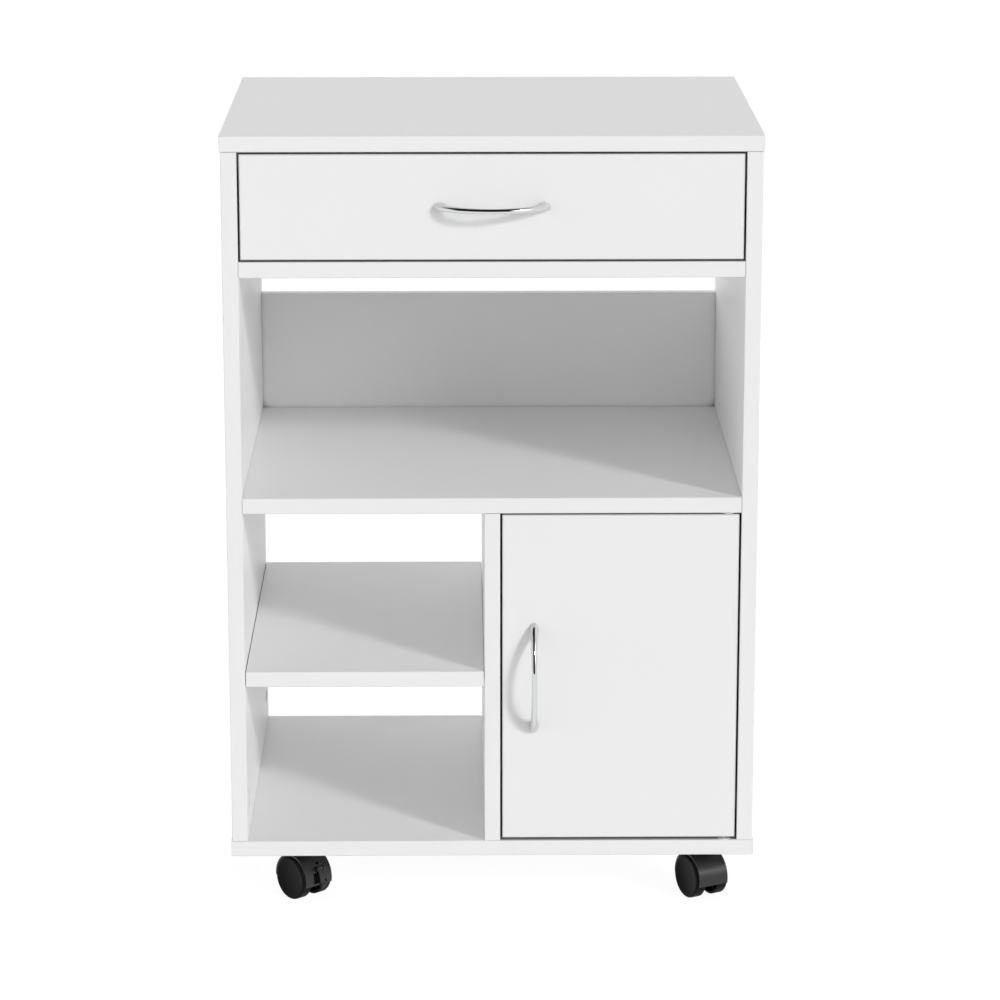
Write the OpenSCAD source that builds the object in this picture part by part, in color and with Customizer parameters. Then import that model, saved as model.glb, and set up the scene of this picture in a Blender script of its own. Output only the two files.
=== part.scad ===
// Printer cabinet on casters, in millimetres.
// +Z is up, the front faces -Y, and the floor is z = 0 under the middle of the cabinet.

/* [Carcass] */
// Width over the top panel
cabinet_w = 500; // [440:1:600]
// Depth of every full board, front to back
cabinet_d = 400; // [380:1:480]
// Height of the carcass without its casters
carcass_h = 695; // [640:1:780]
// Thickness of the coated boards
board_t = 15; // [13:0.5:19]
// How far the top and bottom panels stand out past each side
overhang = 1; // [0:0.5:4]
// Bevel along the banded front edges
edge_bevel = 0.6; // [0.3:0.1:1.2]
// Clear height of the drawer opening
drawer_opening_h = 102; // [96:1:120]
// Clear height of the printer bay
printer_bay_h = 209.5; // [180:0.5:240]
// Height of the back panel that closes the lower part of the printer bay
bay_back_h = 120; // [80:1:150]
// Thickness of the back panels
back_t = 12; // [10:0.5:16]

/* [Fronts] */
// Gap beside and above an inset front
front_gap = 2; // [1.5:0.1:3]
// Gap over the door
door_top_gap = 1.5; // [1.2:0.1:2.5]
// Gap under the door
door_bottom_gap = 3; // [2.5:0.1:4]
// Distance from the door's hinge edge to the pivot
pivot_edge_dist = 10; // [9:0.5:12]
// Depth of the pivot behind the door's face
pivot_depth = 6; // [5:0.1:6]
// Diameter of the pivot pins
pivot_pin_d = 5; // [4:0.5:6]
// How deep a pivot pin stands in its bush
pivot_pin_reach = 8; // [6:0.5:10]

/* [Handles] */
// Distance between a handle's screws
handle_centres = 96; // [64:1:128]
// How far a handle stands out from its front
handle_reach = 27; // [22:1:34]
// Height of a handle's foot
foot_h = 9; // [8:0.5:11]
// Width of a handle's foot along its bow
foot_w = 11; // [9:0.5:13]
// Height of the bow at its middle
bow_h = 5; // [4:0.5:8]
// Thickness of the bow at its middle
bow_t = 4.6; // [4:0.2:7]
// Distance from the door's free edge to its handle
door_handle_inset = 30; // [24:1:40]

/* [Drawer] */
// Length of the drawer sides and runners
drawer_l = 350; // [300:5:360]
// Height of the drawer box
drawer_box_h = 68; // [55:1:72]
// Thickness of the drawer's sides and back
drawer_side_t = 12; // [11:0.5:14]
// Thickness of the drawer's bottom
drawer_bottom_t = 3; // [3:0.5:4]
// Room for a runner beside the drawer box
runner_room = 12.5; // [12.5:0.1:14]
// Sheet thickness of the runners
runner_sheet = 1.2; // [1:0.1:1.4]
// Height of the cabinet runner above the panel under the drawer
runner_lift = 6; // [5:0.5:8]
// Diameter of the nylon rollers
roller_d = 15; // [14:0.5:16]
// Width of the nylon rollers
roller_w = 6.6; // [5:0.1:7]
// Running gap round a roller
roller_gap = 0.3; // [0.3:0.05:0.5]

/* [Casters] */
// Height from the floor to the underside of the carcass
caster_h = 55; // [53:0.5:60]
// Diameter of a caster wheel
wheel_d = 42; // [38:0.5:43]
// Width over both wheels of a caster
caster_w = 35.5; // [32:0.5:38]
// Clear width between the rims of a caster's two wheels
rim_gap = 14; // [12:0.5:16]
// Distance from the swivel to the axle, seen from above
caster_trail = 18; // [17:0.5:20]
// Distance from the swivel to the side of the cabinet
caster_side = 54; // [40:1:70]
// Distance from the swivel to the front or back of the cabinet
caster_end = 57; // [50:1:70]
// Width of the square caster plate
plate_w = 42; // [38:1:50]
// Thickness of the caster plate
plate_t = 2.5; // [2:0.5:3]
// Diameter of the swivel pin
stem_d = 8; // [7:0.5:9]
// Diameter of the axle
axle_d = 5; // [4:0.5:6]
// Wall of the moulded caster hood
hood_wall = 1.8; // [1.5:0.1:2.5]
// How far each wheel stands out of its hood
wheel_proud = 2; // [1:0.25:3]
// Swivel angle of the front left caster
front_left_turn = 42; // [0:1:359]
// Swivel angle of the front right caster
front_right_turn = 28; // [0:1:359]
// Swivel angle of the rear left caster
rear_left_turn = 60; // [0:1:359]
// Swivel angle of the rear right caster
rear_right_turn = 35; // [0:1:359]

/* [Fittings] */
// Diameter of a cam lock
cam_d = 15; // [12:0.5:15]
// Depth of a cam lock
cam_depth = 11.5; // [10.5:0.5:12]
// Distance from a board's end to the cam lock
cam_dist = 34; // [24:1:36]
// Distance from the cabinet's front to the front fittings
cam_front = 30; // [25:1:50]
// Distance from the cabinet's back to the rear fittings
cam_rear = 40; // [35:1:60]
// Diameter of a wooden dowel
dowel_d = 8; // [6:0.5:8]
// Diameter of a shelf pin
pin_d = 5; // [4:0.5:6]
// Clearance round fittings that sit in their holes
seat_gap = 0.1; // [0.05:0.05:0.2]
// Clearance round pins that turn in their holes
turn_gap = 0.05; // [0.02:0.01:0.08]

/* [Hidden] */
$fn = 48;

// The bounding box takes in the handles, so the fronts lie behind its front face.
front_y = -(cabinet_d + handle_reach) / 2 + handle_reach;
back_y = front_y + cabinet_d;

// Sides and heights of the carcass
side_out_x = cabinet_w / 2 - overhang;
side_in_x = side_out_x - board_t;
base_z = caster_h;
floor_z = base_z + board_t;
top_z = base_z + carcass_h;
top_under_z = top_z - board_t;
under_drawer_top_z = top_under_z - drawer_opening_h;
under_drawer_z = under_drawer_top_z - board_t;
printer_shelf_top_z = under_drawer_z - printer_bay_h;
printer_shelf_z = printer_shelf_top_z - board_t;
lower_h = printer_shelf_z - floor_z;
left_shelf_z = floor_z + (lower_h - board_t) / 2;

// Door
door_left_x = board_t / 2 + front_gap;
door_right_x = side_in_x - front_gap;
door_low_z = floor_z + door_bottom_gap;
door_high_z = printer_shelf_z - door_top_gap;
door_mid_z = (door_low_z + door_high_z) / 2;
pivot_x = door_right_x - pivot_edge_dist;
pivot_y = front_y + pivot_depth;
pivot_boss_h = 12;
pivot_boss_wall = 1.5;
bush_floor = 1.3;
bush_end_gap = 0.2;
bush_wall = 1.5;
bush_flange_t = 0.8;
bush_flange_w = 2;

// Drawer
drawer_low_z = under_drawer_top_z + front_gap;
drawer_high_z = top_under_z - front_gap;
drawer_mid_z = (drawer_low_z + drawer_high_z) / 2;
box_out_x = side_in_x - runner_room;
box_front_y = front_y + board_t;
box_back_y = box_front_y + drawer_l;
groove_depth = 5;
groove_lift = 8;
groove_gap = 0.1;

// Runners: the channel is fixed to the cabinet, and the rail to the drawer.
channel_z = under_drawer_top_z + runner_lift;
channel_in_h = roller_d + 2 * roller_gap;
channel_h = channel_in_h + 2 * runner_sheet;
rail_lip_gap = 1.2;
box_lift = 7;
rail_lip_z = channel_z + channel_h + rail_lip_gap;
box_low_z = channel_z + box_lift;
rail_web_h = rail_lip_z + runner_sheet - (box_low_z - runner_sheet);
cabinet_roller_z = rail_lip_z - roller_gap - roller_d / 2;
drawer_roller_z = channel_z + runner_sheet + roller_gap + roller_d / 2;
roller_side_gap = 1.6;
roller_x = box_out_x + runner_sheet + roller_side_gap + roller_w / 2;
roller_pin_d = 4;
roller_inset = 12;
channel_setback = 4;
cabinet_roller_y = box_front_y + roller_inset;
channel_front_y = cabinet_roller_y + roller_d / 2 + channel_setback;
drawer_roller_y = box_back_y - roller_inset;
runner_back_y = box_back_y;

// Casters
wheel_r = wheel_d / 2;
plate_low_z = caster_h - plate_t;
web_t = 6;
wheel_side_gap = 0.5;
wheel_in_x = web_t / 2 + wheel_side_gap;
wheel_out_x = caster_w / 2;
wheel_t = wheel_out_x - wheel_in_x;
rim_in = rim_gap / 2 - wheel_in_x;
hood_half_w = wheel_out_x - wheel_proud;
well_r = wheel_r + 0.7;
hood_r = well_r + hood_wall;
boss_wall = 4.5;
boss_gap = 1;
boss_floor = 3;
stem_rise = 13.5;
boss_r = stem_d / 2 + boss_wall;
boss_top_z = plate_low_z - boss_gap;
stem_low_z = wheel_r + hood_wall + stem_rise;
caster_x = side_out_x - caster_side;
caster_front_y = front_y + caster_end;
caster_back_y = back_y - caster_end;
brake_x = 1.2;
brake_w = 6;
brake_pin_d = 2;
brake_pin_r = hood_r + 2.3;
brake_pin_angle = 28;
brake_low_angle = -11;

// Each corner: where its swivel stands and how its caster is turned.
function corner_pos(c) =
  c == "front_left" ? [-caster_x, caster_front_y, 0] :
  c == "front_right" ? [caster_x, caster_front_y, 0] :
  c == "rear_left" ? [-caster_x, caster_back_y, 0] : [caster_x, caster_back_y, 0];
function corner_turn(c) =
  c == "front_left" ? front_left_turn :
  c == "front_right" ? front_right_turn :
  c == "rear_left" ? rear_left_turn : rear_right_turn;
CORNERS = ["front_left", "front_right", "rear_left", "rear_right"];

// Board fittings. A fitting's frame has its board's end at z = 0 with the board below it,
// and the board's open face at y = 0 with the board's thickness towards -y.
bolt_d = 6;
bolt_head_d = 7;
bolt_anchor = 10;
bolt_head_l = 3;
bolt_neck_d = 4;
bolt_reach = 5;
bolt_collar_l = 2;
dowel_l = 30;
dowel_anchor = 10;
dowel_tip = 1;
dowel_end_gap = 0.5;
back_dowel_inset = 25;
back_dowel_side = 40;
front_fit_y = front_y + cam_front;
rear_fit_y = back_y - cam_rear;
mid_fit_y = (front_fit_y + rear_fit_y) / 2;

// Angles that lay the fitting's frame on each kind of end. Upright boards have their cams on
// the face that looks to +x (LEFT) or to -x (RIGHT), and level boards on their underside.
TURN_UP_LEFT = [0, 0, -90];
TURN_UP_RIGHT = [0, 0, 90];
TURN_DOWN_LEFT = [180, 0, 90];
TURN_DOWN_RIGHT = [180, 0, -90];
TURN_TO_LEFT = [-90, 0, 90];
TURN_TO_RIGHT = [-90, 0, -90];
DOWEL_UP = [0, 0, 0];
DOWEL_DOWN = [180, 0, 0];
DOWEL_LEFT = [0, -90, 0];
DOWEL_RIGHT = [0, 90, 0];

cam_places = concat(
  [for (y = [front_fit_y, rear_fit_y]) [[-side_in_x, y, top_under_z], TURN_UP_LEFT]],
  [for (y = [front_fit_y, rear_fit_y]) [[side_in_x, y, top_under_z], TURN_UP_RIGHT]],
  [for (y = [front_fit_y, rear_fit_y]) [[-side_in_x, y, floor_z], TURN_DOWN_LEFT]],
  [for (y = [front_fit_y, rear_fit_y]) [[side_in_x, y, floor_z], TURN_DOWN_RIGHT]],
  [for (y = [front_fit_y + board_t, rear_fit_y], z = [under_drawer_z, printer_shelf_z])
    [[-side_in_x, y, z], TURN_TO_LEFT]],
  [for (y = [front_fit_y + board_t, rear_fit_y], z = [under_drawer_z, printer_shelf_z])
    [[side_in_x, y, z], TURN_TO_RIGHT]],
  [for (y = [front_fit_y + board_t, rear_fit_y]) [[board_t / 2, y, printer_shelf_z], TURN_UP_LEFT]],
  [for (y = [front_fit_y + board_t, rear_fit_y]) [[board_t / 2, y, floor_z], TURN_DOWN_LEFT]]
);
back_dowel_y = back_y - back_t / 2;
back_dowel_zs = [printer_shelf_top_z + back_dowel_inset,
  printer_shelf_top_z + bay_back_h - back_dowel_inset];
back_dowel_xs = [board_t / 2 + back_dowel_side, side_in_x - back_dowel_side];
side_mid_xs = [-side_in_x - board_t / 2, side_in_x + board_t / 2];
dowel_places = concat(
  [for (x = side_mid_xs) [[x, mid_fit_y, top_under_z], DOWEL_UP]],
  [for (x = side_mid_xs) [[x, mid_fit_y, floor_z], DOWEL_DOWN]],
  [for (z = [under_drawer_z, printer_shelf_z]) [[-side_in_x, mid_fit_y, z + board_t / 2], DOWEL_LEFT]],
  [for (z = [under_drawer_z, printer_shelf_z]) [[side_in_x, mid_fit_y, z + board_t / 2], DOWEL_RIGHT]],
  [[[0, mid_fit_y, printer_shelf_z], DOWEL_UP], [[0, mid_fit_y, floor_z], DOWEL_DOWN]],
  [for (z = back_dowel_zs) [[-side_in_x, back_dowel_y, z], DOWEL_LEFT]],
  [for (z = back_dowel_zs) [[side_in_x, back_dowel_y, z], DOWEL_RIGHT]],
  [for (x = back_dowel_xs) [[x, back_dowel_y, floor_z], DOWEL_DOWN]],
  [for (x = back_dowel_xs) [[x, back_dowel_y, printer_shelf_z], DOWEL_UP]]
);
back_dowel_d = dowel_d - 2;

module at(place) {
  translate(place[0]) rotate(place[1]) children();
}

module bore(d, l) {
  cylinder(d = d, h = l, $fn = 32);
}

// The holes that one cam joint needs in both of its boards
module cam_cut() {
  translate([0, 1, -cam_dist]) rotate([90, 0, 0]) bore(cam_d + 2 * seat_gap, cam_depth + 1);
  translate([0, -board_t / 2, -cam_dist]) bore(bolt_head_d + 2 * seat_gap, cam_dist + 0.01);
  translate([0, -board_t / 2, -0.01]) bore(bolt_d + 2 * seat_gap, bolt_anchor + 0.01);
}

module cam_cuts() {
  for (p = cam_places) at(p) cam_cut();
}

function dowel_size(p) = p[0][1] > rear_fit_y ? back_dowel_d : dowel_d;

module dowel_cuts() {
  for (p = dowel_places) at(p) translate([0, 0, dowel_anchor - dowel_l - dowel_end_gap])
    bore(dowel_size(p) + 2 * seat_gap, dowel_l + dowel_end_gap);
}

// Screw with a low flat head: the head stands on z = 0 and the shank points to -z.
module screw(d, l, head_d, head_h) {
  bore(head_d, head_h);
  translate([0, 0, -l + d / 2]) bore(d, l - d / 2 + 0.01);
  translate([0, 0, -l]) cylinder(d1 = d * 0.2, d2 = d, h = d / 2 + 0.01, $fn = 32);
}

module screw_drive(d, h) {
  for (a = [0, 90]) rotate(a) translate([-d / 2, -0.5, 0]) cube([d, 1, h]);
}

// Section of a board with its front edge bevelled: x runs back from the front edge.
module board_section(depth, thick) {
  b = edge_bevel;
  polygon([[0, b], [b, 0], [depth, 0], [depth, thick], [b, thick], [0, thick - b]]);
}

// A level board: x from x0 to x1, front edge at y0
module flat_board(x0, x1, y0, depth, z, thick) {
  translate([x0, y0, z]) rotate([90, 0, 90]) linear_extrude(x1 - x0) board_section(depth, thick);
}

// An upright board: z from z0 to z1
module upright_board(x, thick, y0, depth, z0, z1) {
  translate([x + thick, y0, z0]) rotate([0, 0, 90]) linear_extrude(z1 - z0) board_section(depth, thick);
}

// An inset front with its four front edges bevelled
module front_board(x0, x1, z0, z1) {
  b = edge_bevel;
  w = x1 - x0;
  h = z1 - z0;
  intersection() {
    translate([x0, front_y, z0]) cube([w, board_t, h]);
    translate([x1, front_y, z0]) rotate([0, 0, 90]) linear_extrude(h)
      polygon([[0, b], [b, 0], [board_t, 0], [board_t, w], [b, w], [0, w - b]]);
    translate([x0, front_y, z0]) rotate([90, 0, 90]) linear_extrude(w)
      polygon([[0, b], [b, 0], [board_t, 0], [board_t, h], [b, h], [0, h - b]]);
  }
}

// Carcass panels

module top_panel() {
  color("white") difference() {
    flat_board(-cabinet_w / 2, cabinet_w / 2, front_y, cabinet_d, top_under_z, board_t);
    cam_cuts();
    dowel_cuts();
  }
}

module bottom_panel() {
  color("white") difference() {
    flat_board(-cabinet_w / 2, cabinet_w / 2, front_y, cabinet_d, base_z, board_t);
    cam_cuts();
    dowel_cuts();
    caster_screw_cuts();
    bush_cut(floor_z, 180);
  }
}

module side_panel(x) {
  color("white") difference() {
    upright_board(x, board_t, front_y, cabinet_d, floor_z, top_under_z);
    cam_cuts();
    dowel_cuts();
    pin_cuts();
    runner_screw_cuts();
  }
}

module left_side_panel() {
  side_panel(-side_out_x);
}

module right_side_panel() {
  side_panel(side_in_x);
}

module under_drawer_panel() {
  color("white") difference() {
    flat_board(-side_in_x, side_in_x, front_y, cabinet_d, under_drawer_z, board_t);
    cam_cuts();
    dowel_cuts();
  }
}

module printer_shelf() {
  color("white") difference() {
    flat_board(-side_in_x, side_in_x, front_y, cabinet_d, printer_shelf_z, board_t);
    cam_cuts();
    dowel_cuts();
    bush_cut(printer_shelf_z, 0);
    catch_screw_cuts();
  }
}

module divider_panel() {
  color("white") difference() {
    upright_board(-board_t / 2, board_t, front_y, cabinet_d, floor_z, printer_shelf_z);
    cam_cuts();
    dowel_cuts();
    pin_cuts();
  }
}

shelf_side_gap = 0.5;

module left_bay_shelf() {
  color("white") flat_board(-side_in_x + shelf_side_gap, -board_t / 2 - shelf_side_gap,
    front_y, cabinet_d, left_shelf_z, board_t);
}

module printer_bay_back() {
  color("white") difference() {
    translate([-side_in_x, back_y - back_t, printer_shelf_top_z])
      cube([2 * side_in_x, back_t, bay_back_h]);
    dowel_cuts();
  }
}

module door_bay_back() {
  color("white") difference() {
    translate([board_t / 2, back_y - back_t, floor_z])
      cube([side_in_x - board_t / 2, back_t, lower_h]);
    dowel_cuts();
  }
}

// Board fittings

pin_depth = 9;
pin_reach = 8;
pin_seat_t = 1.2;
pin_seat_w = 9;
pin_z = left_shelf_z - pin_d / 2;
pin_inset = 50;
pin_end_gap = 0.5;
pin_places = [for (y = [front_y + pin_inset, back_y - pin_inset], s = [-1, 1])
  [s < 0 ? -side_in_x : -board_t / 2, y, pin_z, s]];

module pin_cuts() {
  for (p = pin_places) translate([p[0], p[1], p[2]]) rotate([0, p[3] * 90, 0])
    translate([0, 0, -0.01]) bore(pin_d + 2 * seat_gap, pin_depth + pin_end_gap);
}

module shelf_pins() {
  color("silver") for (p = pin_places) translate([p[0], p[1], p[2]]) {
    rotate([0, p[3] * 90, 0]) translate([0, 0, -pin_reach]) bore(pin_d, pin_reach + pin_depth);
    translate([p[3] < 0 ? 0 : -pin_reach, -pin_seat_w / 2, pin_d / 2 - pin_seat_t])
      cube([pin_reach, pin_seat_w, pin_seat_t]);
  }
}

cap_t = 1.2;
cap_flange_t = 0.5;
cap_flange_w = 1;
cap_gap = 0.3;
cam_mouth_gap = 0.5;
cam_drive_depth = 2;

// A cam lock lies behind its cap, and its mouth takes the bolt's head.
module cam_locks() {
  mouth_w = bolt_head_d + 2 * cam_mouth_gap;
  color("silver") for (p = cam_places) at(p) translate([0, 0, -cam_dist]) rotate([90, 0, 0]) difference() {
    translate([0, 0, cap_t]) bore(cam_d, cam_depth - cap_t);
    translate([-mouth_w / 2, -cam_mouth_gap, board_t / 2 - mouth_w / 2]) cube([mouth_w, cam_d, mouth_w]);
    translate([0, 0, cap_t - 0.01]) screw_drive(cam_d / 2, cam_drive_depth);
  }
}

module cam_bolts() {
  color("silver") for (p = cam_places) at(p) translate([0, -board_t / 2, 0]) {
    translate([0, 0, -0.01]) bore(bolt_d, bolt_anchor);
    translate([0, 0, -bolt_collar_l]) bore(bolt_d, bolt_collar_l);
    translate([0, 0, -cam_dist + bolt_reach + bolt_head_l])
      bore(bolt_neck_d, cam_dist - bolt_reach - bolt_head_l + 0.01);
    translate([0, 0, -cam_dist + bolt_reach]) bore(bolt_head_d - 2 * seat_gap, bolt_head_l);
  }
}

// White caps close the front cams that face an open bay.
cover_places = [for (p = cam_places) if (p[0][1] < mid_fit_y && p[0][2] < under_drawer_z + 1) p];

module cam_covers() {
  color("white") for (p = cover_places) at(p) translate([0, 0, -cam_dist]) rotate([90, 0, 0]) {
    bore(cam_d - 2 * cap_gap, cap_t);
    translate([0, 0, -cap_flange_t]) bore(cam_d + 2 * cap_flange_w, cap_flange_t);
  }
}

module wood_dowels() {
  color("burlywood") for (p = dowel_places) at(p) translate([0, 0, dowel_anchor - dowel_l]) {
    d = dowel_size(p);
    translate([0, 0, dowel_tip]) bore(d, dowel_l - 2 * dowel_tip);
    cylinder(d1 = d - 2 * dowel_tip, d2 = d, h = dowel_tip, $fn = 32);
    translate([0, 0, dowel_l - dowel_tip]) cylinder(d1 = d, d2 = d - 2 * dowel_tip, h = dowel_tip, $fn = 32);
  }
}

// Runners. Each is drawn for the right side, and the left one is its mirror image.

runner_screw_ys = [for (k = [0.2, 0.5, 0.85]) channel_front_y + k * (runner_back_y - channel_front_y)];
runner_screw_z = channel_z + channel_h / 2;
screw_d = 3.5;
screw_l = 13;
screw_head_d = 6.5;
low_head_h = 0.8;
rail_screw_l = groove_lift;
screw_end_gap = 0.5;
screw_hole_gap = 0.3;
runner_end_gap = 1;
lip_side_gap = 0.8;
roller_face_gap = 0.4;
roller_seat_d = 7;
roller_cap_h = 4;

module runner_screw_cuts() {
  for (s = [-1, 1], y = runner_screw_ys) translate([s * (side_in_x - 0.01), y, runner_screw_z])
    rotate([0, s * 90, 0]) bore(screw_d + 2 * seat_gap, screw_l + screw_end_gap);
}

// Channel that is fixed to the cabinet's side and carries a roller at its front
module cabinet_runner() {
  s = runner_sheet;
  in_x = box_out_x + s + lip_side_gap;
  y0 = box_front_y + 2 * runner_end_gap;
  roller_out_x = roller_x + roller_w / 2 + roller_face_gap;
  roller_in_x = roller_x - roller_w / 2 - roller_face_gap;
  l = runner_back_y - channel_front_y;
  difference() {
    union() {
      translate([side_in_x - s, y0, channel_z]) cube([s, runner_back_y - y0, channel_h]);
      translate([side_in_x - s, y0, channel_z])
        cube([s, channel_front_y - y0, rail_lip_z + roller_cap_h - channel_z]);
      for (z = [channel_z, channel_z + channel_h - s])
        translate([in_x, channel_front_y, z]) cube([side_in_x - in_x, l, s]);
      translate([in_x, runner_back_y - s, channel_z]) cube([side_in_x - in_x, s, channel_h]);
      translate([roller_out_x, cabinet_roller_y, cabinet_roller_z])
        rotate([0, 90, 0]) bore(roller_seat_d, side_in_x - s - roller_out_x + 0.01);
      translate([roller_in_x, cabinet_roller_y, cabinet_roller_z])
        rotate([0, 90, 0]) bore(roller_pin_d, side_in_x - s - roller_in_x);
    }
    for (y = runner_screw_ys) translate([side_in_x - s - 1, y, runner_screw_z])
      rotate([0, 90, 0]) bore(screw_d + 2 * screw_hole_gap, s + 2);
  }
}

// Rail that is fixed under the drawer's side and carries a roller at its back
module drawer_runner() {
  s = runner_sheet;
  l = drawer_l - 2 * runner_end_gap;
  y0 = box_front_y + runner_end_gap;
  roller_out_x = roller_x + roller_w / 2 + roller_face_gap;
  roller_in_x = roller_x - roller_w / 2 - roller_face_gap;
  difference() {
    union() {
      translate([box_out_x - drawer_side_t, y0, box_low_z - s]) cube([drawer_side_t + s, l, s]);
      translate([box_out_x, y0, box_low_z - s]) cube([s, l, rail_web_h]);
      translate([box_out_x, y0, rail_lip_z]) cube([side_in_x - s - runner_end_gap - box_out_x, l, s]);
      translate([box_out_x, drawer_roller_y, drawer_roller_z])
        rotate([0, 90, 0]) bore(roller_pin_d, roller_out_x - box_out_x);
      translate([box_out_x + s - 0.01, drawer_roller_y, drawer_roller_z])
        rotate([0, 90, 0]) bore(roller_seat_d, roller_in_x - box_out_x - s + 0.01);
    }
    for (y = drawer_screw_ys) translate([box_out_x - drawer_side_t / 2, y, box_low_z - s - 1])
      bore(screw_d + 2 * screw_hole_gap, s + 2);
  }
}

module left_cabinet_runner() {
  color("whitesmoke") mirror([1, 0, 0]) cabinet_runner();
}

module right_cabinet_runner() {
  color("whitesmoke") cabinet_runner();
}

module left_drawer_runner() {
  color("whitesmoke") mirror([1, 0, 0]) drawer_runner();
}

module right_drawer_runner() {
  color("whitesmoke") drawer_runner();
}

module cabinet_runner_screws() {
  color("silver") for (m = [0, 1]) mirror([m, 0, 0]) for (y = runner_screw_ys)
    translate([side_in_x - runner_sheet, y, runner_screw_z]) rotate([0, -90, 0])
      screw(screw_d, screw_l, screw_head_d, low_head_h);
}

roller_edge = 0.6;
roller_groove_depth = 0.8;
roller_groove = [3.4, 4, 5.4, 6];

// Nylon roller with a groove round each face
module roller(y, z) {
  r = roller_d / 2;
  hole_r = roller_pin_d / 2 + turn_gap;
  g = roller_groove;
  depth = roller_groove_depth;
  translate([roller_x - roller_w / 2, y, z]) rotate([0, 90, 0]) rotate_extrude($fn = 48)
    polygon([
      [hole_r, 0], [g[0], 0], [g[1], depth], [g[2], depth], [g[3], 0],
      [r - roller_edge, 0], [r, roller_edge], [r, roller_w - roller_edge], [r - roller_edge, roller_w],
      [g[3], roller_w], [g[2], roller_w - depth], [g[1], roller_w - depth], [g[0], roller_w],
      [hole_r, roller_w]
    ]);
}

module left_cabinet_roller() {
  color("white") mirror([1, 0, 0]) roller(cabinet_roller_y, cabinet_roller_z);
}

module right_cabinet_roller() {
  color("white") roller(cabinet_roller_y, cabinet_roller_z);
}

module left_drawer_roller() {
  color("white") mirror([1, 0, 0]) roller(drawer_roller_y, drawer_roller_z);
}

module right_drawer_roller() {
  color("white") roller(drawer_roller_y, drawer_roller_z);
}

// Drawer

drawer_screw_ys = [for (k = [0.1, 0.5, 0.82]) box_front_y + k * drawer_l];
drawer_dowel_low = 22;
drawer_dowel_high = 12;
drawer_dowel_zs = [box_low_z + drawer_dowel_low, box_low_z + drawer_box_h - drawer_dowel_high];
drawer_dowel_d = 6;
drawer_dowel_l = 20;
drawer_dowel_in = 8;
bottom_inset = 0.5;
box_in_x = box_out_x - drawer_side_t;
groove_z = box_low_z + groove_lift;

module groove_cut() {
  translate([-box_in_x - groove_depth, box_front_y - groove_depth, groove_z - groove_gap])
    cube([2 * (box_in_x + groove_depth), drawer_l + groove_depth + 1, drawer_bottom_t + 2 * groove_gap]);
}

module drawer_dowels_at(gap) {
  for (s = [-1, 1], z = drawer_dowel_zs) {
    translate([s * (box_out_x - drawer_side_t / 2), box_front_y - drawer_dowel_in - gap, z])
      rotate([-90, 0, 0]) bore(drawer_dowel_d + 2 * gap, drawer_dowel_l + 2 * gap);
    translate([s * (box_out_x - drawer_side_t + drawer_dowel_in + gap), box_back_y - drawer_side_t / 2, z])
      rotate([0, -s * 90, 0]) bore(drawer_dowel_d + 2 * gap, drawer_dowel_l + 2 * gap);
  }
}

module handle_screw_cuts(x, z, upright) {
  run = upright ? [0, 0, 1] : [1, 0, 0];
  for (s = [-1, 1]) translate([x, front_y - 1, z] + run * s * handle_centres / 2)
    rotate([-90, 0, 0]) bore(handle_screw_d + 2 * screw_hole_gap, board_t + 2);
}

module drawer_front() {
  color("white") difference() {
    front_board(-side_in_x + front_gap, side_in_x - front_gap, drawer_low_z, drawer_high_z);
    groove_cut();
    drawer_dowels_at(seat_gap);
    handle_screw_cuts(0, drawer_mid_z, false);
  }
}

module drawer_side(x) {
  color("white") difference() {
    translate([x, box_front_y, box_low_z]) cube([drawer_side_t, drawer_l, drawer_box_h]);
    groove_cut();
    drawer_dowels_at(seat_gap);
    for (y = drawer_screw_ys) translate([x + drawer_side_t / 2, y, box_low_z - 0.01])
      bore(screw_d + 2 * seat_gap, rail_screw_l);
  }
}

module drawer_left_side() {
  drawer_side(-box_out_x);
}

module drawer_right_side() {
  drawer_side(box_in_x);
}

module drawer_back() {
  low = groove_z + drawer_bottom_t;
  color("white") difference() {
    translate([-box_in_x, box_back_y - drawer_side_t, low])
      cube([2 * box_in_x, drawer_side_t, box_low_z + drawer_box_h - low]);
    drawer_dowels_at(seat_gap);
  }
}

module drawer_bottom() {
  reach = groove_depth - bottom_inset;
  color("white") translate([-box_in_x - reach, box_front_y - reach, groove_z])
    cube([2 * (box_in_x + reach), drawer_l + reach, drawer_bottom_t]);
}

module drawer_dowels() {
  color("burlywood") drawer_dowels_at(0);
}

module drawer_runner_screws() {
  color("silver") for (s = [-1, 1], y = drawer_screw_ys)
    translate([s * (box_out_x - drawer_side_t / 2), y, box_low_z - runner_sheet])
      rotate([180, 0, 0]) screw(screw_d, rail_screw_l, screw_head_d, low_head_h);
}

// Bow handles. The section shrinks from the foot to the middle along an elliptic bow.
bow_steps = 28;
bow_sides = 20;
handle_screw_d = 4;
handle_screw_in = 7;
handle_head_d = 8;
handle_head_h = 2.4;
handle_drive = 5;
function bow_share(i) = sin(180 * i / bow_steps);
function bow_ring(i) =
  let(
    t = 180 * i / bow_steps,
    half = handle_centres / 2,
    rise = handle_reach - bow_t / 2,
    centre = [-half * cos(t), -rise * sin(t)],
    along = [half * sin(t), -rise * cos(t)],
    n = [-along[1], along[0]] / norm(along),
    k = bow_share(i) ^ 0.8,
    across = foot_w / 2 * (1 - k) + bow_t / 2 * k,
    up = foot_h / 2 * (1 - k) + bow_h / 2 * k
  )
  [for (j = [0:bow_sides - 1]) let(a = 360 * j / bow_sides)
    [centre[0] + n[0] * across * cos(a), centre[1] + n[1] * across * cos(a), up * sin(a)]];

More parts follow.
